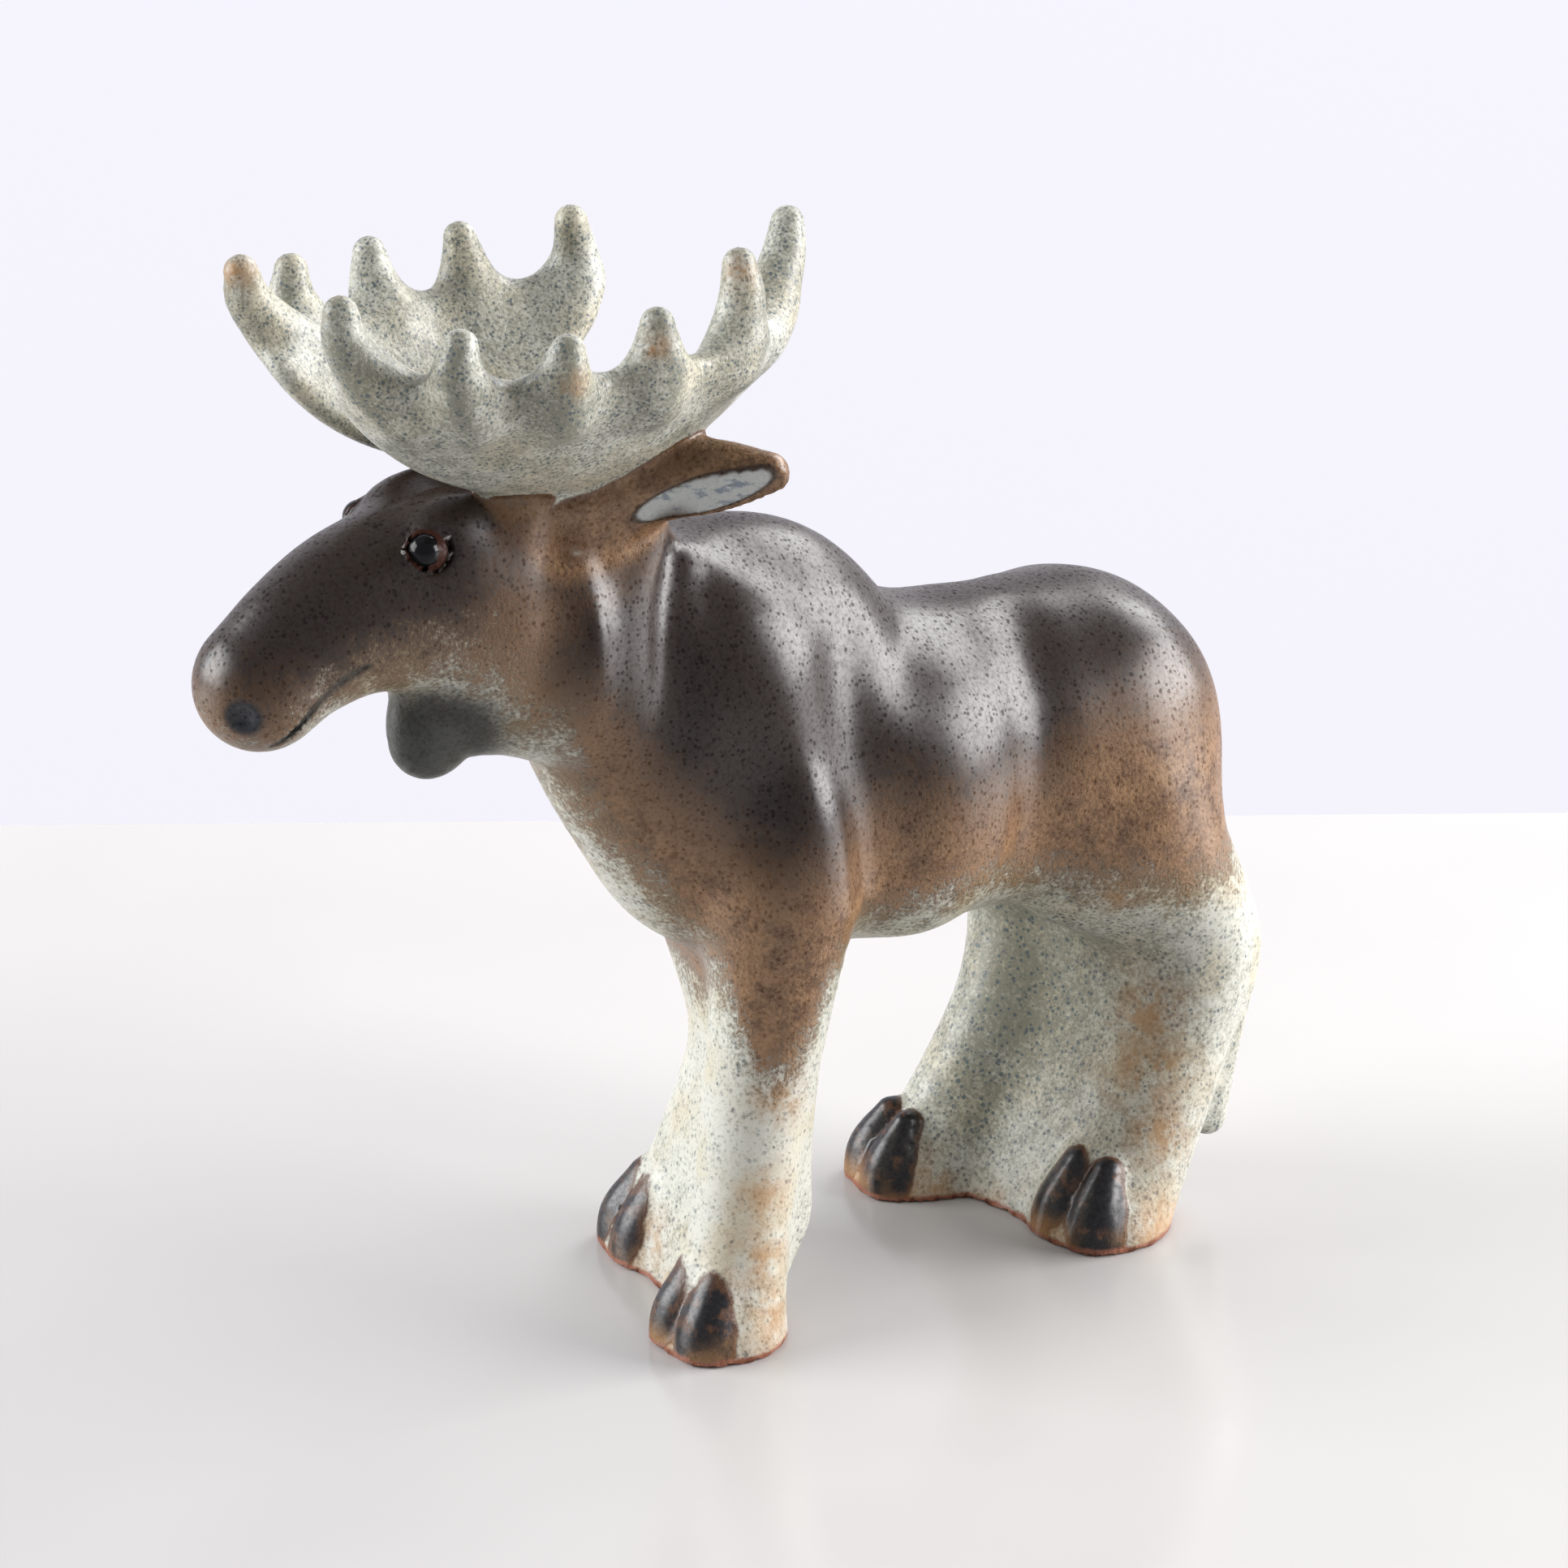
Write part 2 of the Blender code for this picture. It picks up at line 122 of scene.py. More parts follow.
def limb(p, stations, steps=4, width=1.0):
    """Round limb through stations (x, y, z, radius); width is its share across the figure."""
    stretch = np.array([1 / width, 1, 1])
    points = curve_through(stations, steps)
    distance = np.full(len(p), 1e9)
    for a, b in zip(points[:-1], points[1:]):
        piece = cone(p * stretch, a[:3] * stretch, b[:3] * stretch, a[3], b[3])
        distance = np.minimum(distance, piece)
    return distance


def body_tube(p, stations, steps=8):
    """Tube along the middle of the figure through stations (y, z, radius, share of width)."""
    points = curve_through(stations, steps)
    distance = np.full(len(p), 1e9)
    for a, b in zip(points[:-1], points[1:]):
        along = b[:2] - a[:2]
        share = np.clip(((p[:, 1:] - a[:2]) @ along) / (along @ along), 0, 1)
        off = p[:, 1:] - a[:2] - share[:, None] * along
        across = p[:, 0] / (a[3] + (b[3] - a[3]) * share)
        radius = a[2] + (b[2] - a[2]) * share
        distance = np.minimum(distance, np.sqrt((off ** 2).sum(1) + across ** 2) - radius)
    return distance


def join(a, b, soft):
    """Both shapes together, with a fillet where they meet."""
    reach = 1.5 * soft
    near = np.maximum(reach - np.abs(a - b), 0) / reach
    return np.minimum(a, b) - near ** 3 * reach / 6


def shared(a, b, soft):
    """What two shapes have in common, with a rounded edge."""
    return -join(-a, -b, soft)


def carve(a, b, soft):
    """The first shape with the second taken out of it."""
    return -join(-a, b, soft)


def mirrored(p):
    return p * np.array([-1.0, 1.0, 1.0])


def pair(p, shape, *sizes):
    """A shape on the left side and its mirror image on the right."""
    return np.minimum(shape(p, *sizes), shape(mirrored(p), *sizes))


# the feet: place of each foot and the way its toes point, in degrees to the left
FEET = {
    "fore_left": (24.5, -49.5, 5),
    "fore_right": (-18.5, -35.5, -12),
    "hind_left": (28.0, 46.0, 10),
    "hind_right": (-15.5, 26.5, -10),
}


def trunk(p):
    d = body_tube(p, [(51.5, 104.5, 34.6, 0.88), (30, 105.5, 34.5, 0.9), (8, 106.5, 35.5, 0.9),
                      (-14, 110.5, 36.8, 0.86), (-34, 124, 37.2, 0.75), (-54, 141, 28, 0.86),
                      (-74, 151, 24, 0.86), (-92, 161, 18, 0.9)])
    d = join(d, ellipsoid(p, (0, -28, 131), (20, 30, 32)), 14)
    d = join(d, pair(p, ellipsoid, (13.3, -62.5, 153), (10.6, 11, 24), (-8, 0, 0)), 8)
    d = join(d, pair(p, ellipsoid, (14, 3, 105), (20.5, 22, 30)), 6)
    d = join(d, pair(p, ellipsoid, (14, 54, 99), (19, 26.5, 35), (-8, 0, 0)), 6)
    d = join(d, pair(p, ellipsoid, (15.5, -37, 129), (15, 18.5, 30), (10, 0, 0)), 5)
    d = join(d, pair(p, ellipsoid, (20, -32, 106), (16.5, 15, 21)), 6)
    return join(d, ellipsoid(p, (-1, -31.5, 105), (24, 28.5, 29.5), (-4, 0, 0)), 8)


# valleys between the muscles of the left side: stations (x, y, z, radius) of the round tool that cuts each
NECK_CREASE = [(17.8, -53, 167, 2.5), (25.4, -56.6, 156, 3), (28.2, -57.6, 145, 3.2), (28, -58, 131, 2.2)]
CHEEK_VALLEY = [(24, -78.5, 166, 4.5), (25.5, -82, 156, 6), (24, -86, 148, 5)]
BLADE_FRONT = [(25, -48.5, 162, 6.5), (32, -48, 151, 8.2), (35.3, -48.5, 137, 8.5), (35.2, -48, 122, 8.2),
               (35.5, -48.5, 112, 7)]
BLADE_BACK = [(26.5, -14, 151, 6), (32.5, -18, 141, 8), (37, -19.5, 126, 8.2), (39, -16.5, 112, 8.2),
              (38, -14, 98, 7.5)]
FLANK = [(15.5, 33, 144, 5.5), (32, 27.5, 128.5, 8.2), (38, 26, 110, 8.5), (35, 26, 88, 8)]


def valleys(p):
    distance = np.full(len(p), 1e9)
    for stations in (CHEEK_VALLEY, BLADE_FRONT, BLADE_BACK, FLANK):
        distance = np.minimum(distance, pair(p, limb, stations))
    return distance


def neck_creases(p):
    return pair(p, limb, NECK_CREASE)


def tail(p):
    return ellipsoid(p, (0, 84.3, 107), (5.5, 7, 12), (8, 0, 0))


def head(p):
    d = body_tube(p, [(-135.5, 153, 12.3, 1.0), (-127, 158.5, 14, 0.95), (-114, 163, 16.5, 0.95),
                      (-98, 164, 18.5, 0.95), (-84, 161, 19, 0.95)])
    d = join(d, ellipsoid(p, (0, -136.5, 151.5), (12.2, 12, 12)), 3)
    d = join(d, pair(p, ellipsoid, (8, -96.5, 176), (7, 11, 8), (-14, 0, 8)), 6)
    d = join(d, ellipsoid(p, (0, -124, 151), (9, 13, 5), (24, 0, 0)), 3)
    dewlap = limb(p, [(0, -88, 142, 12), (0, -98, 138, 10), (0, -100, 134, 8.5)], width=0.75)
    return join(d, dewlap, 6)


def nostrils(p):
    radius = NOSTRIL_RADIUS / UNIT
    return pair(p, ellipsoid, (10.4, -146.2, 149), (radius * 0.8, radius * 0.8, radius * 0.75))


def eyes(p):
    radius = EYE_RADIUS / UNIT
    return pair(p, ellipsoid, (12.6, -106, 176.2), (radius, radius, radius))


def eye_sockets(p):
    radius = EYE_RADIUS / UNIT
    return pair(p, ellipsoid, (14.6, -106.8, 176.9), (radius * 1.2, radius * 1.5, radius * 1.4))


# an ear leans out and back; its opening is a flat oval that looks out and down
EAR_OPENING = np.array([33.0, -57.5, 182.0])
EAR_LOOKS = np.array([0.70, -0.50, -0.51])
EAR_STATIONS = [(9, -78, 174, 8.5), (17, -64.5, 182.2, 8.6), (30, -55.2, 186.3, 7.3),
                (41.2, -48.8, 188.8, 4.1)]


def ear(p):
    return shared(limb(p, EAR_STATIONS, steps=6), (p - EAR_OPENING) @ EAR_LOOKS, 0.8)


def ears(p):
    return pair(p, ear)


def fore_legs(p):
    fore_left = limb(p, [(21, -32, 92, 15), (20, -34, 70, 12), (20, -38, 48, 10.5), (23, -44, 22, 10),
                         FEET["fore_left"][:2] + (-DROP, 12)])
    fore_right = limb(p, [(-21, -25, 92, 15), (-16.5, -20, 70, 12), (-12.5, -18, 48, 10.5),
                          (-16, -26, 22, 10), FEET["fore_right"][:2] + (-DROP, 12)])
    fore_web = limb(p, [(0, -28, 72, 8), (2, -28, 48, 7), (3, -34, 22, 7), (3, -42, -DROP, 7)], width=1.6)
    both = join(join(fore_left, fore_right, 8), fore_web, 14)
    return join(both, fore_tendons(p), 5)


def fore_tendons(p):
    r = TENDON_RADIUS / UNIT
    left = limb(p, [(20, -29.5, 50, r * 0.9), (20.8, -29.8, 32, r), (21, -30.2, 21, r * 1.1),
                    (21.5, -34, 13, r * 0.8)])
    right = limb(p, [(-13, -9.5, 50, r * 0.9), (-14, -12, 32, r), (-15, -13, 21, r * 1.1),
                     (-16, -17, 13, r * 0.8)])
    return np.minimum(left, right)


def hind_legs(p):
    hind_left = limb(p, [(18, 58, 90, 17), (21, 74, 62, 12.5), (22, 70, 40, 11.5), (25, 59, 18, 11.5),
                         FEET["hind_left"][:2] + (-DROP, 12.5)])
    hind_right = limb(p, [(-18, 54, 90, 17), (-18, 58, 62, 12.5), (-14, 52, 40, 11.5), (-15, 40, 18, 11),
                          FEET["hind_right"][:2] + (-DROP, 12.5)])
    hind_web = limb(p, [(0, 58, 78, 9), (2, 62, 56, 9), (3, 58, 34, 9), (5, 40, -DROP, 8)], width=1.6)
    both = join(join(hind_left, hind_right, 8), hind_web, 14)
    return join(both, hind_tendons(p), 5)


def hind_tendons(p):
    r = TENDON_RADIUS / UNIT
    left = limb(p, [(22, 76, 72, r * 1.6), (24, 85, 56, r), (24, 82, 38, r * 0.9), (25, 76.5, 17, r)])
    right = limb(p, [(-20, 66, 72, r * 1.6), (-20, 70, 56, r), (-17, 66, 38, r * 0.9), (-16, 58, 17, r)])
    return np.minimum(left, right)


def toes(p, foot):
    x, y, heading = FEET[foot]
    heading = np.radians(heading)
    ahead = np.array([np.sin(heading), -np.cos(heading)])
    aside = np.array([np.cos(heading), np.sin(heading)])
    radius = TOE_RADIUS / UNIT
    distance = np.full(len(p), 1e9)
    for side in (-1, 1):
        stations = []
        for forward, apart, height, share in ((6.6, 5, -DROP, 1.1), (7, 4.7, 6, 1), (3.4, 4, 15, 0.5)):
            place = np.array([x, y]) + ahead * forward + aside * side * apart
            stations.append((place[0], place[1], height, radius * share))
        distance = np.minimum(distance, limb(p, stations, steps=10))
    return distance


def feet(p):
    distance = np.full(len(p), 1e9)
    for name, (x, y, heading) in FEET.items():
        pad = ellipsoid(p, (x, y, -DROP), (13, 13, 17))
        distance = np.minimum(distance, join(pad, toes(p, name), 1.0))
    return distance


# tines from front to back, on the left palm and on the right one seen in a mirror: root, middle, tip
LEFT_TINES = [
    ((22, -115, 207), (20, -125.5, 220), (19.5, -127, 227)),
    ((31, -106.5, 207), (33.7, -111, 216), (34, -110.5, 221.5)),
    ((37, -91, 207), (40.5, -93, 214.5), (41.5, -92.5, 219.5)),
    ((38, -71.5, 207), (39.5, -72, 215), (39.5, -72, 221)),
    ((32, -51, 209), (31.3, -48, 220), (30.5, -48, 226.7)),
    ((22, -39, 210), (15.5, -28.5, 220.5), (12.5, -25, UNITS_HIGH - 3.3)),
]
RIGHT_TINES = [
    ((21, -110, 206), (20.5, -123.5, 218.5), (19.5, -126.5, 226)),
    ((30.5, -104.5, 205), (33, -108.5, 214), (33.5, -108.5, 220.5)),
    ((35.5, -86, 205), (39.5, -87, 213), (40.5, -87.5, 219.3)),
    ((37.5, -66, 205), (38.5, -67, 213.5), (39, -68, 219.8)),
    ((32, -49, 205), (32.5, -45.5, 213.5), (30.5, -47.5, 222)),
]
BOWL_CENTRE = (5, -76.5, 231)
BOWL_RADII = (36, 53, 46)
BACK_BALL = (82, -110, 231)     # centre of the ball whose surface is the right palm's back edge
BACK_RADIUS = 90
STEM = [(8, -88, 172, 8), (10, -86, 182, 7), (12, -84, 190, 7)]


def palm(p, tines, rim, cut_back):
    """Left antler: a shell of a bowl under a level rim, open towards the middle, with its tines."""
    wall = ANTLER_WALL / UNIT
    shell = np.abs(ellipsoid(p, BOWL_CENTRE, BOWL_RADII)) - wall / 2
    d = shared(shared(shell, p[:, 2] - rim, wall * 0.8), 10 - p[:, 0], wall * 0.8)
    if cut_back:
        d = shared(d, ellipsoid(p, BACK_BALL, (BACK_RADIUS,) * 3), wall * 0.8)
    tip_radius = TINE_TIP_RADIUS / UNIT
    for root, middle, tip in tines:
        tine = limb(p, [root + (wall * 0.75,), middle + (wall * 0.7,), tip + (tip_radius,)], steps=4)
        d = join(d, tine, 7)
    return join(d, limb(p, STEM, steps=2), 2.5)


def left_antler(p):
    return palm(p, LEFT_TINES, 213, False)


def right_antler(p):
    return palm(mirrored(p), RIGHT_TINES, 210.5, True)


# the figure: each shape, how softly it joins the rest, and the box it is worked out in
PIECES = [
    (head, 9, ((-50, -175, 90), (50, -50, 215))),
    (fore_legs, 8, ((-75, -90, -30), (75, 25, 135))),
    (hind_legs, 9, ((-75, -15, -30), (75, 125, 135))),
    (feet, 4, ((-75, -90, -30), (75, 90, 50))),
    (tail, 4, ((-30, 50, 65), (30, 120, 140))),
    (ears, 8.5, ((-75, -115, 130), (75, -15, 220))),
    (left_antler, 4, ((-30, -165, 140), (75, 15, 260))),
    (right_antler, 4, ((-75, -165, 140), (30, 15, 260))),
]
HOLLOWS = [
    (valleys, 6, ((-60, -105, 70), (60, 50, 190))),
    (neck_creases, 4, ((-40, -75, 115), (40, -35, 185))),
    (nostrils, 1.5, ((-30, -165, 130), (30, -125, 170))),
    (eye_sockets, 1.5, ((-30, -125, 160), (30, -90, 195))),
]


def figure(p):
    d = trunk(p)
    for shape, soft, (low, high) in PIECES:
        here = ((p > low) & (p < high)).all(1)
        d[here] = join(d[here], shape(p[here]), soft)
    for shape, soft, (low, high) in HOLLOWS:
        here = ((p > low) & (p < high)).all(1)
        d[here] = carve(d[here], shape(p[here]), soft)
    return join(d, eyes(p), 0.4)


# from the field to a mesh

def sampled(field):
    """The field's values on the grid, worked out only near the surface."""
    cells = np.ceil((SPACE_HIGH - SPACE_LOW) / CELL / COARSE).astype(int) * COARSE
    axes = [SPACE_LOW[i] + CELL * np.arange(cells[i] + 1) for i in range(3)]
    sparse = np.stack(np.meshgrid(*[axis[::COARSE] for axis in axes], indexing="ij"), -1)
    rough = field(sparse.reshape(-1, 3)).reshape(sparse.shape[:3])
    nearest = [np.round(np.arange(n + 1) / COARSE).astype(int) for n in cells]
    values = rough[np.ix_(*nearest)]
    near = np.abs(values) < CELL * COARSE * 1.4 + 3
    values[near] = field(np.stack(np.meshgrid(*axes, indexing="ij"), -1)[near])
    return values


def without_pinches(values):
    """The grid with every place filled where the surface would touch itself along an edge."""
    values = values.copy()
    for axis in range(3):
        first, second = [i for i in range(3) if i != axis]
        corners = []
        for a, b in ((0, 0), (0, 1), (1, 1), (1, 0)):
            window = [slice(None)] * 3
            window[first] = slice(a, values.shape[first] - 1 + a)
            window[second] = slice(b, values.shape[second] - 1 + b)
            corners.append(values[tuple(window)])
        inside = [corner < 0 for corner in corners]
        crossed = (inside[0] == inside[2]) & (inside[1] == inside[3]) & (inside[0] != inside[1])
        for corner in corners:
            corner[crossed & (corner >= 0)] = -0.01
    return values


def net(values):
    """One vertex in each cell that the surface passes, one face for each grid edge that it crosses."""
    cells = tuple(n - 1 for n in values.shape)
    total = np.zeros(cells + (3,))
    count = np.zeros(cells)
    for corner in np.ndindex(2, 2, 2):
        for axis in range(3):
            if corner[axis]:
                continue
            other = [c + (i == axis) for i, c in enumerate(corner)]
            a = values[tuple(slice(c, c + n) for c, n in zip(corner, cells))]
            b = values[tuple(slice(c, c + n) for c, n in zip(other, cells))]
            crossed = (a < 0) != (b < 0)
            share = np.where(crossed, a / np.where(crossed, a - b, 1), 0)
            for i in range(3):
                total[..., i] += crossed * (corner[i] + (share if i == axis else 0))
            count += crossed
    used = count > 0
    number = np.full(cells, -1)
    number[used] = np.arange(used.sum())
    points = (np.argwhere(used) + total[used] / count[used][:, None]) * CELL + SPACE_LOW
    faces = []
    for axis in range(3):
        first, second = [step for i, step in enumerate(np.eye(3, dtype=int)) if i != axis]
        low = [slice(0, n - (i == axis)) for i, n in enumerate(values.shape)]
        high = [slice(int(i == axis), n) for i, n in enumerate(values.shape)]
        below, above = values[tuple(low)] < 0, values[tuple(high)] < 0
        edge = np.argwhere(below != above)
        corners = [edge - first - second, edge - second, edge, edge - first]
        quad = np.stack([number[tuple(c.T)] for c in corners], 1)
        outward = below[tuple(edge.T)] != (axis == 1)
        faces.append(np.where(outward[:, None], quad, quad[:, ::-1]))
    return points, np.concatenate(faces)


def slopes(field, points):
    reach = 0.05
    rises = [field(points + reach * axis) - field(points - reach * axis) for axis in np.eye(3)]
    return np.stack(rises, 1) / (2 * reach)


def settled(field, points):
    """Points moved onto the surface along its slope, and the surface's normals there."""
    slope = slopes(field, points)
    steep = np.maximum((slope ** 2).sum(1), 0.05)
    for _ in range(2):
        step = (field(points) / steep)[:, None] * slope
        length = np.maximum(np.sqrt((step ** 2).sum(1)), 1e-9)
        points = points - step * np.minimum(1, CELL / length)[:, None]
    slope = slopes(field, points)
    return points, slope / np.maximum(np.sqrt((slope ** 2).sum(1)), 1e-9)[:, None]


# details too fine for the solid

def soft_step(value, start, end):
    """0 at start, 1 at end, with soft ends."""
    share = np.clip((value - start) / (end - start), 0, 1)
    return share * share * (3 - 2 * share)


MOUTH_LINE = [(8.6, -138.5, 142, 0.5), (11.2, -133.2, 147.6, 0.6), (12.6, -128, 151.9, 0.6),
              (13.2, -124, 154.9, 0.5), (14, -120.5, 156.4, 0.3)]
HEAD_BOX = ((-30, -150, 130), (30, -85, 185))
NECK_BOX = ((-45, -105, 90), (45, -26, 205))
EYE_CENTRE = np.array([12.5, -106.8, 176.3])
EYE_LOOKS = np.array([0.86, -0.29, 0.42])
EYE_SWELL = 0.25            # how far the glossy ball stands out past the figure's own eye
LID_RADIUS = 3.6
LID_LIFT = 0.8
LID_THICKNESS = 0.55


def inside(p, box):
    return ((p > box[0]) & (p < box[1])).all(1)


def mouth(p):
    return pair(p, limb, MOUTH_LINE)


def eye_rims(p):
    """A thin lid around each eye."""
    q = np.where(p[:, :1] < 0, mirrored(p), p) - EYE_CENTRE
    along = q @ EYE_LOOKS
    out = np.sqrt(np.maximum((q ** 2).sum(1) - along ** 2, 0))
    return np.sqrt((out - LID_RADIUS) ** 2 + (along - LID_LIFT) ** 2) - LID_THICKNESS


# soft swells (+) and dips (-) modelled on both sides: y, z, reach along y, reach along z, amount
RELIEF = [(-77, 154, 5.2, 22, 3.4), (-61, 150, 6.5, 24, -3.0), (-46, 146, 6, 22, 2.1)]


def relief(p):
    _, y, z = p.T
    height = sum(amount * np.exp(-((y - at) / reach) ** 2 - ((z - level) / rise) ** 2)
                 for at, level, reach, rise, amount in RELIEF)
    return height * soft_step(np.abs(p[:, 0]), 5, 13)


def fine_figure(p):
    d = figure(p)
    here = inside(p, NECK_BOX)
    d[here] -= relief(p[here])
    here = inside(p, HEAD_BOX)
    d[here] = carve(d[here], mouth(p[here]), 0.8)
    d[here] = join(d[here], eye_rims(p[here]), 0.7)
    return shared(d, -p[:, 2], 0.6)


# where each glaze lies

def along_back(y, *pairs):
    """Height at y on straight lines between (y, height) pairs."""
    at, height = zip(*pairs)
    return np.interp(y, at, height)


# lower edge of the brown, and the edge between its dark upper part and its rusty lower part
BROWN_EDGE = [(-150, 136), (-138, 141), (-130, 148), (-121, 154), (-104, 156), (-90, 148), (-79, 135),
              (-73, 118), (-64, 104), (-58, 98), (-53, 91), (-48, 81), (-45.5, 69), (-43, 60), (-39, 58),
              (-32, 68), (-28, 79), (-17, 86), (8, 91), (23, 87), (40, 83), (58, 80), (75, 81), (92, 85)]
DARK_EDGE = [(-150, 155), (-138, 152), (-129, 153), (-121, 157), (-110, 160), (-97, 161), (-87, 156),
             (-77, 146), (-70, 137), (-60, 124), (-50, 114), (-42, 105), (-30, 103), (-13, 113), (5, 111),
             (27, 109), (41, 120), (57, 122), (75, 120), (92, 120)]
# grey in the glaze, more (+) or less (-) than elsewhere: place, radius and amount. The greyer hind legs and
# the valley between them are partly painted shade, and the paler forelegs, chest and hock are partly
# painted light
TONES_AND_SHADE = [((8, 50, 52), 34, 0.20), ((-8, 45, 60), 13, 0.16), ((-6, 42, 40), 13, 0.18),
         ((-6, 35, 21), 12, 0.14), ((8, -62, 100), 18, -0.15), ((26, -46, 50), 24, -0.12),
         ((22, -52, 25), 20, -0.12), ((-18, -30, 45), 24, -0.16), ((26, -27, 38), 14, -0.10),
         ((36, 78, 68), 15, -0.20), ((34, -96, 199), 20, 0.03), ((-28, -80, 202), 26, 0.05),
         ((42, -90, 207), 7, 0.10), ((31, -109, 214), 6, 0.14), ((40, -96, 210), 5, 0.20),
         ((43, -79, 210), 5, 0.16), ((24, -124, 218), 7, 0.14), ((34, -57, 214), 8, 0.14),
         ((20, -33, 220), 9, 0.14)]
# ochre stains: place and radius
STAINS = [(33, -44, 33, 7), (34, -45, 20, 8), (30, -39, 52, 6), (27, 57, 46, 9), (29, 57, 34, 10),
          (36, 55, 22, 8), (-8, -46, 7, 6), (34, -44, 8, 7), (40, 52, 4, 8), (-4, 20, 2, 9),
          (43, -75, 218, 2.5), (45, -93, 214, 2.5), (34, -50, 226, 3), (-18, -129, 227, 4),
          (16, -127, 229, 3), (30, 47, 78, 5), (21, -60, 4, 7)]
DEWLAP_SHADE = (2, -99, 136)
NOSTRIL_SHADE = (9.8, -145.4, 149.2)
# the pale oval inside an ear
EAR_OVAL = np.array([33.8, -58.4, 184.0])
EAR_AXIS = np.array([0.698, 0.628, 0.343])
EAR_ACROSS = np.array([0.149, -0.596, 0.789])
EAR_HALF_LENGTH = 16.2
EAR_HALF_WIDTH = 4.9
# the dark streaks along the tines
STREAK_WIDTH = 2.2
STREAK_DEPTH = 9
STREAK_TONE = 0.28


def away_from(p, place):
    """Each point's distance from a place."""
    return np.sqrt(((p - place) ** 2).sum(1))


def tine_streaks(p, tines):
    """1 along the outer side of each tine of the left palm, where a dark streak runs."""
    streak = np.zeros(len(p))
    middle = np.array(BOWL_CENTRE[:2])
    for root, _, tip in tines:
        root, tip = np.array(root, float), np.array(tip, float)
        outward = np.append(tip[:2] - middle, 0)
        outward /= np.sqrt(outward @ outward)
        aside = np.array([-outward[1], outward[0], 0])
        along = tip - root
        share = np.clip(((p - root) @ along) / (along @ along), -0.3, 1)
        off = p - root - share[:, None] * along
        across = np.exp(-(off @ aside / STREAK_WIDTH) ** 2)
        here = across * soft_step(off @ outward, -2, 2) * (np.abs(off @ outward) < STREAK_DEPTH)
        streak = np.maximum(streak, here)
    return streak * soft_step(p[:, 2], 198, 208)


def glaze_map(p, normal):
    """How strongly each glaze lies at each point, by name."""
    x, y, z = p.T
    q = np.where(x[:, None] < 0, mirrored(p), p)
    outward = np.where(x < 0, -normal[:, 0], normal[:, 0])

    rest = trunk(p)
    for shape, soft, _ in PIECES[:6]:
        rest = join(rest, shape(p), soft)
    stem = limb(q, STEM, steps=2)
    antler = np.minimum(np.minimum(rest - 1.7, stem - 1.3), (z - 172) / 3)

    lean = 10 * (np.minimum(outward, 0.8) - 0.8)
    brown = (z + lean - along_back(y, *BROWN_EDGE)) / (1 + 0.7 * soft_step(y, -55, -70))
    dark = z - along_back(y, *DARK_EDGE)
    ear_root = limb(q, EAR_STATIONS)
    dark = np.minimum(dark, 14) - 12 * soft_step(ear_root, 20, 6) - 24 * soft_step(ear_root, 6, 0)
    # how deep in a broad hollow each point lies, for the glaze's darkening there, which is partly painted
    # shade
    hollow_shade = 1 - fine_figure(p + normal * 13) / 13

    toe = np.full(len(p), 9.0)
    for name in FEET:
        toe = np.minimum(toe, toes(p, name))
    facing = (q - EAR_OPENING) @ EAR_LOOKS / np.sqrt(EAR_LOOKS @ EAR_LOOKS)
    along = (q - EAR_OVAL) @ EAR_AXIS
    across = (q - EAR_OVAL) @ EAR_ACROSS - 0.06 * along
    off = np.sqrt((along / EAR_HALF_LENGTH) ** 2 + (across / EAR_HALF_WIDTH) ** 2)
    oval = EAR_HALF_WIDTH * (1 - off)
    ear_inside = np.minimum(np.minimum(oval, facing + 1.2), 0.3 + 3 * soft_step(along, -2, -8) - ear_root)
    stain = np.zeros(len(p))
    for sx, sy, sz, radius in STAINS:
        stain = np.maximum(stain, np.exp(-((p - (sx, sy, sz)) ** 2).sum(1) / radius ** 2))
    # grey streaks along the tines, then the listed spots of more or less grey, some of them painted shade
    # and painted light
    tone_and_shade = STREAK_TONE * np.maximum(tine_streaks(p, LEFT_TINES), tine_streaks(mirrored(p), RIGHT_TINES))
    for place, radius, amount in TONES_AND_SHADE:
        tone_and_shade += amount * np.exp(-((p - place) ** 2).sum(1) / radius ** 2)
    return {
        "antler": antler,
        "joint": soft_step(stem, 2.2, 0.4) * soft_step(z, 177, 182),
        "brown": brown,
        "dark": dark,
        "hollow_shade": hollow_shade,
        "toe": toe,
        "ear": ear_inside,
        "eye": away_from(q, EYE_CENTRE),
        "nostril": away_from(q, NOSTRIL_SHADE),
        "lip": mouth(p),
        "dewlap": away_from(p, DEWLAP_SHADE),
        "stain": stain,
        "tone_and_shade": tone_and_shade,
        "ground": z,
    }


# the mesh

def fitted(points):
    """Units to metres, fitted into the model's box so that the two stand alike."""
    low, high = points.min(0), points.max(0)
    box_low, box_high = (np.array(corner) for corner in CAD_BOX)
    return box_low + (points - low) / (high - low) * (box_high - box_low)


def make_figure():
    values = sampled(fine_figure)
    filled = without_pinches(values)
    while (filled != values).any():
        values, filled = filled, without_pinches(filled)
    points, faces = net(values)
    points, normals = settled(fine_figure, points)
    mesh = bpy.data.meshes.new("glazed_moose")
    mesh.from_pydata(fitted(points), [], faces.tolist())
    mesh.shade_smooth()
    mesh.normals_split_custom_set_from_vertices(normals.tolist())
    for name, value in glaze_map(points, normals).items():
        mesh.attributes.new(name, "FLOAT", "POINT").data.foreach_set("value", value.astype(np.float32))
    piece = bpy.data.objects.new("glazed_moose", mesh)
    bpy.context.collection.objects.link(piece)
    return piece


# materials

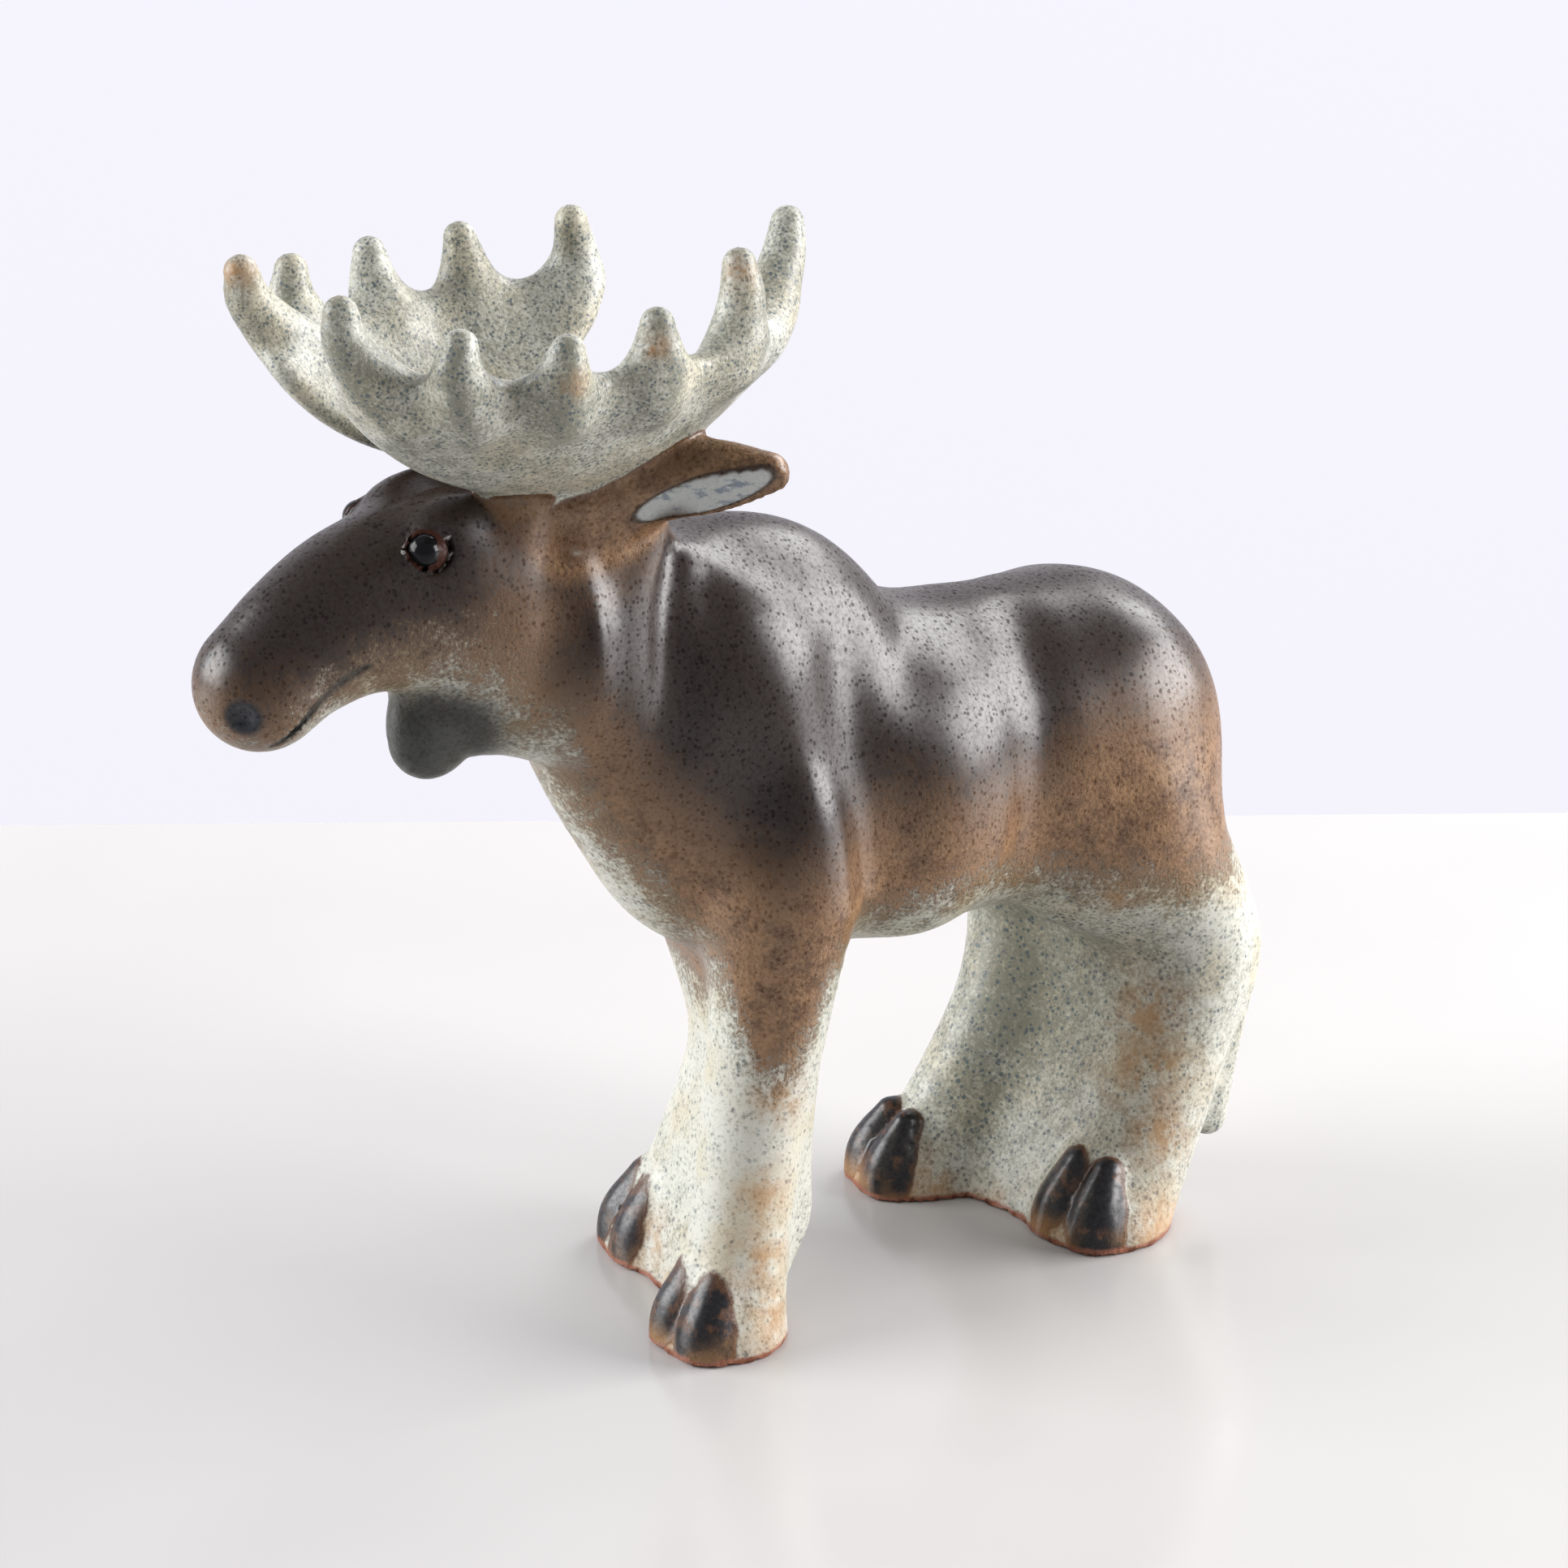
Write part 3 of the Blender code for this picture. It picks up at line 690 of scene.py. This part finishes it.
class Glaze:
    """A material, with short ways to wire its nodes."""

    def __init__(self, name):
        self.material = bpy.data.materials.new(name)
        self.material.use_nodes = True
        self.tree = self.material.node_tree
        self.shader = self.tree.nodes["Principled BSDF"]

    def put(self, value, socket):
        if isinstance(value, bpy.types.NodeSocket):
            self.tree.links.new(value, socket)
        elif isinstance(value, tuple):
            socket.default_value = value + (1.0,)
        else:
            socket.default_value = value

    def set(self, name, value):
        self.put(value, self.shader.inputs[name])

    def attribute(self, name):
        made = self.tree.nodes.new("ShaderNodeAttribute")
        made.attribute_name = name
        return made.outputs["Fac"]

    def math(self, operation, *values):
        made = self.tree.nodes.new("ShaderNodeMath")
        made.operation = operation
        for value, socket in zip(values, made.inputs):
            self.put(value, socket)
        return made.outputs[0]

    def add(self, a, b):
        return self.math("ADD", a, b)

    def times(self, a, b):
        return self.math("MULTIPLY", a, b)

    def ramp(self, value, start, end, low=0.0, high=1.0):
        made = self.tree.nodes.new("ShaderNodeMapRange")
        made.interpolation_type = "SMOOTHSTEP"
        for item, socket in zip((value, start, end, low, high), made.inputs):
            self.put(item, socket)
        return made.outputs[0]

    def noise(self, size, detail=2.0, roughness=0.5, stretch=(1, 1, 1)):
        """Noise around 0.5 whose features are about that many millimetres across."""
        place = self.tree.nodes.new("ShaderNodeTexCoord").outputs["Object"]
        scaled = self.tree.nodes.new("ShaderNodeVectorMath")
        scaled.operation = "MULTIPLY"
        self.put(place, scaled.inputs[0])
        scaled.inputs[1].default_value = [1000 / size / share for share in stretch]
        made = self.tree.nodes.new("ShaderNodeTexNoise")
        self.put(scaled.outputs[0], made.inputs["Vector"])
        for name, value in (("Scale", 1.0), ("Detail", detail), ("Roughness", roughness)):
            made.inputs[name].default_value = value
        return made.outputs["Fac"]

    def dots(self, spacing, reach, wobble):
        """1 in round specks that lie about that many millimetres apart, 0 between them."""
        place = self.tree.nodes.new("ShaderNodeTexCoord").outputs["Object"]
        made = self.tree.nodes.new("ShaderNodeTexVoronoi")
        self.put(place, made.inputs["Vector"])
        made.inputs["Scale"].default_value = 1000 / spacing
        size = self.times(self.math("SUBTRACT", made.outputs["Color"], 0.5), 0.9)
        distance = self.add(self.add(made.outputs["Distance"], size), self.swing(wobble, 0.1))
        return self.ramp(distance, reach, reach - 0.22)

    def swing(self, noise, amount):
        """Noise as a number between about -amount and amount."""
        return self.times(self.math("SUBTRACT", noise, 0.5), amount * 4)

    def mix(self, share, a, b):
        made = self.tree.nodes.new("ShaderNodeMix")
        made.data_type = "RGBA"
        self.put(share, made.inputs[0])
        for value, socket in zip((a, b), [s for s in made.inputs if s.type == "RGBA"]):
            self.put(value, socket)
        return next(s for s in made.outputs if s.type == "RGBA")

    def bump(self, height, distance):
        made = self.tree.nodes.new("ShaderNodeBump")
        made.inputs["Strength"].default_value = 1.0
        made.inputs["Distance"].default_value = distance
        self.put(height, made.inputs["Height"])
        return made.outputs["Normal"]


CELADON = (0.55, 0.553, 0.49)
CELADON_WARM = (0.53, 0.495, 0.385)
CELADON_DEEP = (0.29, 0.282, 0.212)
CELADON_GREY = (0.15, 0.15, 0.115)
TEAL = (0.065, 0.095, 0.11)
# near black painted as shade under the dewlap and in the mouth's crease
SHADE_BLACK = (0.007, 0.008, 0.0075)
RUST = (0.088, 0.041, 0.018)
TAN = (0.26, 0.147, 0.070)
UMBER = (0.17, 0.115, 0.055)
CHOCOLATE = (0.018, 0.0095, 0.006)
BLUE_BLACK = (0.006, 0.008, 0.014)
HOOF = (0.006, 0.005, 0.007)
HOOF_RUST = (0.085, 0.038, 0.018)
OCHRE = (0.40, 0.21, 0.075)
JOINT_GOLD = (0.12, 0.062, 0.022)
TERRACOTTA = (0.25, 0.09, 0.05)
LID = (0.045, 0.017, 0.012)
EAR_PALE = (0.44, 0.46, 0.445)
EAR_BLUE = (0.12, 0.16, 0.22)


def pale_glaze(g, grain, specks, mottle, clouds, lean):
    """Celadon with soft grey-green mottling and blue-green specks, greyer in broad hollows: partly denser
    specks, partly painted shade.
    """
    # partly painted shade: the glaze is greyer in broad hollows
    shade = g.ramp(g.attribute("hollow_shade"), 0.5, 0.85, 0.0, 0.2)
    # partly painted shade and light: the listed spots of more or less grey
    lean = g.add(g.add(g.attribute("tone_and_shade"), shade), lean)
    ground = g.mix(g.ramp(clouds, 0.44, 0.66), CELADON, CELADON_WARM)
    depth = g.add(lean, g.times(g.math("SUBTRACT", mottle, 0.5), 0.5))
    ground = g.mix(g.ramp(depth, -0.1, 0.4, 0.0, 0.65), ground, CELADON_DEEP)
    density = g.add(g.add(g.times(grain, 0.7), g.times(mottle, 0.3)), g.times(lean, 0.4))
    colour = g.mix(g.ramp(density, 0.42, 0.68, 0.0, 0.75), ground, CELADON_GREY)
    return g.mix(g.times(specks, g.ramp(density, 0.38, 0.58, 0.3, 0.8)), colour, TEAL)


def brown_glaze(g, grain, mottle, pits):
    """Rusty tan under chocolate, with blue-black pits, darker in broad hollows: partly darker glaze, partly
    painted shade.
    """
    rust = g.mix(g.ramp(g.add(g.times(mottle, 0.6), g.times(grain, 0.4)), 0.32, 0.66), RUST, TAN)
    # partly painted shade: the chocolate reaches lower in broad hollows
    hollow = g.ramp(g.attribute("hollow_shade"), 0.3, 0.7, 0.0, 14.0)
    dark = g.add(g.add(g.attribute("dark"), g.swing(mottle, 6.0)), g.add(g.swing(grain, 4.0), hollow))
    colour = g.mix(g.ramp(dark, -14.0, 10.0), rust, CHOCOLATE)
    return g.mix(g.times(pits, 0.24), colour, BLUE_BLACK)


def small_parts(g, body, mottle, clouds):
    """Colours of hooves, ears, nostrils, lids and soles over the body's; also where hooves and lids lie."""
    toe = g.add(g.attribute("toe"), g.swing(mottle, 0.5))
    body = g.mix(g.ramp(toe, 1.5, 0.9), body, HOOF_RUST)
    body = g.mix(g.ramp(toe, 0.9, 0.3), body, g.mix(g.ramp(mottle, 0.50, 0.64), HOOF, HOOF_RUST))
    hoof = g.ramp(toe, 1.2, 0.5)
    ear = g.attribute("ear")
    streaks = g.ramp(g.noise(3.2, 4.0, 0.7, (1.5, 1.5, 0.7)), 0.52, 0.64, 0.0, 0.8)
    inner = g.mix(streaks, EAR_PALE, EAR_BLUE)
    body = g.mix(g.ramp(ear, 0.0, 0.3, 0.0, 0.8), body, CHOCOLATE)
    body = g.mix(g.ramp(ear, 0.4, 0.8), body, inner)
    # painted shade: blue-black inside the nostrils
    body = g.mix(g.ramp(g.attribute("nostril"), 5.0, 3.2), body, BLUE_BLACK)
    lid = g.ramp(g.attribute("eye"), 4.3, 3.95)
    body = g.mix(lid, body, LID)
    ground = g.add(g.attribute("ground"), g.swing(mottle, 0.6))
    body = g.mix(g.times(g.ramp(ground, 8.0, 1.5, 0.0, 0.6), g.ramp(clouds, 0.4, 0.6)), body, OCHRE)
    body = g.mix(g.ramp(ground, 2.0, 1.0), body, TERRACOTTA)
    return body, hoof, lid


def stoneware():
    g = Glaze("speckled_stoneware_glaze")
    grain = g.noise(0.9, 3.0, 0.7)
    specks = g.dots(1.0, 0.30, grain)
    mottle = g.noise(4.5, 4.0, 0.65)
    clouds = g.noise(17, 3.0, 0.55)
    pits = g.dots(1.0, 0.24, grain)

    edge = g.add(g.add(g.attribute("brown"), g.swing(mottle, 4.5)), g.swing(grain, 6.0))
    near_brown = g.ramp(g.attribute("brown"), -14.0, -2.0, 0.0, 0.13)
    pale = pale_glaze(g, grain, specks, mottle, clouds, near_brown)
    coat = brown_glaze(g, grain, mottle, pits)
    brown = g.ramp(edge, -7.0, 5.0)
    stain = g.times(g.attribute("stain"), g.ramp(mottle, 0.30, 0.62))
    pale = g.mix(g.times(stain, 0.7), pale, OCHRE)
    rim = g.times(g.ramp(edge, -13.0, -1.0), g.ramp(clouds, 0.38, 0.62, 0.25, 0.85))
    pale = g.mix(rim, pale, UMBER)
    body = g.mix(brown, pale, coat)

    # painted shade: near black under the dewlap and along the mouth's crease
    dewlap = g.ramp(g.add(g.attribute("dewlap"), g.swing(mottle, 2.0)), 18.0, 9.0)
    body = g.mix(g.times(dewlap, 0.92), body, SHADE_BLACK)
    lip = g.ramp(g.attribute("lip"), 1.2, 0.0)
    body = g.mix(g.times(lip, 0.8), body, SHADE_BLACK)

    # antlers and the golden joint under them
    horn = pale_glaze(g, g.noise(0.7, 2.0, 0.75), g.dots(0.75, 0.32, grain), mottle, clouds, 0.06)
    horn = g.mix(g.times(stain, 0.8), horn, OCHRE)
    horn_edge = g.add(g.attribute("antler"), g.swing(mottle, 0.3))
    antler = g.ramp(horn_edge, -0.25, 0.3)
    body = g.mix(g.times(g.attribute("joint"), g.ramp(mottle, 0.25, 0.55)), body, JOINT_GOLD)
    body = g.mix(g.ramp(horn_edge, -1.0, -0.2, 0.0, 0.7), body, RUST)
    body = g.mix(antler, body, horn)
    shine = g.times(brown, g.math("SUBTRACT", 1.0, antler))

    body, hoof, lid = small_parts(g, body, mottle, clouds)
    g.set("Base Color", body)
    matt = g.math("MAXIMUM", g.times(g.times(pits, shine), 0.6), g.times(lid, 0.8))
    g.set("Roughness", g.ramp(mottle, 0.3, 0.7, 0.34, 0.44))
    glossy = g.math("MAXIMUM", shine, hoof)
    g.set("Specular IOR Level", g.ramp(glossy, 0.0, 1.0, 0.3, 0.0))
    worn = g.times(g.math("SUBTRACT", 1.0, matt), g.ramp(grain, 0.3, 0.6, 0.6, 1.0))
    g.set("Coat Weight", g.times(g.ramp(glossy, 0.0, 1.0, 0.1, 1.0), worn))
    g.set("Coat Roughness", 0.34)
    g.set("Coat IOR", 1.55)
    height = g.add(g.noise(0.9, 2.0, 0.6), g.times(pits, -0.15))
    g.set("Normal", g.bump(g.times(height, g.ramp(glossy, 0.0, 1.0, 0.25, 1.0)), 0.0005))
    return g.material


def eye_gloss():
    g = Glaze("eye_gloss")
    g.set("Base Color", (0.004, 0.004, 0.005))
    g.set("Roughness", g.ramp(g.noise(1.5), 0.3, 0.7, 0.12, 0.18))
    g.set("Specular IOR Level", 0.2)
    return g.material


# the middle of the figure's box in plan, in units
BOX_MIDDLE = np.array([0.325, -28.753, 0.0])


def make_eye(side):
    """A smooth glossy ball over the eye of the figure."""
    rings, steps = 16, 32
    centre = EYE_CENTRE * (side, 1, 1)
    points, faces = [], []
    for i in range(rings + 1):
        tilt = np.pi * i / rings
        for j in range(steps):
            turn = 2 * np.pi * j / steps
            points.append((np.sin(tilt) * np.cos(turn), np.sin(tilt) * np.sin(turn), np.cos(tilt)))
    for i in range(rings):
        for j in range(steps):
            k = (j + 1) % steps
            faces.append((i * steps + j, (i + 1) * steps + j, (i + 1) * steps + k, i * steps + k))
    ball = centre + np.array(points) * (EYE_RADIUS / UNIT + EYE_SWELL)
    mesh = bpy.data.meshes.new("eye")
    mesh.from_pydata((ball - BOX_MIDDLE) * UNIT, [], faces)
    mesh.shade_smooth()
    eye = bpy.data.objects.new("left_eye" if side > 0 else "right_eye", mesh)
    bpy.context.collection.objects.link(eye)
    return eye


def table_top():
    g = Glaze("white_table")
    cloud = g.noise(140, 2.0)
    g.set("Base Color", g.mix(g.ramp(cloud, 0.3, 0.7), (0.485, 0.473, 0.464), (0.51, 0.498, 0.488)))
    g.set("Roughness", g.ramp(g.noise(30, 3.0), 0.3, 0.7, 0.14, 0.2))
    return g.material


def backdrop_paper():
    g = Glaze("backdrop_paper")
    g.set("Base Color", (0.03, 0.03, 0.03))
    g.set("Roughness", 1.0)
    g.set("Emission Color", (0.90, 0.89, 0.97))
    g.set("Emission Strength", 0.96)
    return g.material


# the stage

def direction(azimuth, elevation):
    a, e = np.radians((azimuth, elevation))
    return Vector((np.sin(a) * np.cos(e), -np.cos(a) * np.cos(e), np.sin(e)))


def place_camera():
    data = bpy.data.cameras.new("camera")
    data.sensor_width = SENSOR_WIDTH
    data.lens = SENSOR_WIDTH * FOCAL_SHARE
    data.clip_start = 0.05
    camera = bpy.data.objects.new("camera", data)
    towards = direction(CAMERA_AZIMUTH, CAMERA_ELEVATION)
    camera.location = CAMERA_TARGET + towards * CAMERA_DISTANCE
    camera.rotation_euler = (-towards).to_track_quat("-Z", "Y").to_euler()
    bpy.context.collection.objects.link(camera)
    bpy.context.scene.camera = camera


def soft_light(name, azimuth, elevation, distance, size, radiance, colour=(1, 1, 1)):
    """A rectangular softbox facing the figure; radiance in watts per square metre and steradian."""
    data = bpy.data.lights.new(name, "AREA")
    data.shape = "RECTANGLE"
    data.size, data.size_y = size
    data.energy = radiance * np.pi * size[0] * size[1]
    data.color = colour
    light = bpy.data.objects.new(name, data)
    towards = direction(azimuth, elevation)
    light.location = Vector((0, 0, 0.11)) + towards * distance
    light.rotation_euler = (-towards).to_track_quat("-Z", "Y").to_euler()
    bpy.context.collection.objects.link(light)


def rectangle(name, corners, material):
    mesh = bpy.data.meshes.new(name)
    mesh.from_pydata(corners, [], [(0, 1, 2, 3)])
    mesh.materials.append(material)
    made = bpy.data.objects.new(name, mesh)
    bpy.context.collection.objects.link(made)


TABLE_BACK = 0.258      # from the figure's middle to the table's far edge
TABLE_SKEW = 0.022      # how much farther that edge is at the right, per metre
BACKDROP = 1.7          # from the figure's middle to the backdrop


def set_stage():
    away = -direction(CAMERA_AZIMUTH, 0)
    left = Vector((-away.y, away.x, 0))
    near, half = away * -1.5, 1.6
    far_left = away * (TABLE_BACK - TABLE_SKEW * half) + left * half
    far_right = away * (TABLE_BACK + TABLE_SKEW * half) - left * half
    rectangle("table", [near - left * half, far_right, far_left, near + left * half], table_top())
    wall = away * BACKDROP
    low, high, wide = Vector((0, 0, -1.2)), Vector((0, 0, 2.2)), left * 2.6
    rectangle("backdrop", [wall - wide + low, wall + wide + low, wall + wide + high, wall - wide + high],
              backdrop_paper())
    soft_light("right_window", 150, 17, 1.8, (1.5, 1.0), 12.8, (1.0, 0.985, 0.99))
    soft_light("back_window", 192, 35, 1.8, (1.1, 0.8), 8.5)
    soft_light("left_window", -34, 20, 1.8, (1.4, 1.2), 9.3, (0.985, 0.99, 1.0))
    world = bpy.data.worlds.new("studio")
    world.use_nodes = True
    world.node_tree.nodes["Background"].inputs["Color"].default_value = (0.95, 0.95, 1.0, 1.0)
    world.node_tree.nodes["Background"].inputs["Strength"].default_value = 0.38
    bpy.context.scene.world = world
    bpy.context.scene.view_settings.view_transform = "Standard"


moose = make_figure()
moose.data.materials.append(stoneware())
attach(moose, "root")
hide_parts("moose")
gloss = eye_gloss()
for side in (1, -1):
    eye = make_eye(side)
    eye.data.materials.append(gloss)
    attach(eye, "root")
place_camera()
set_stage()
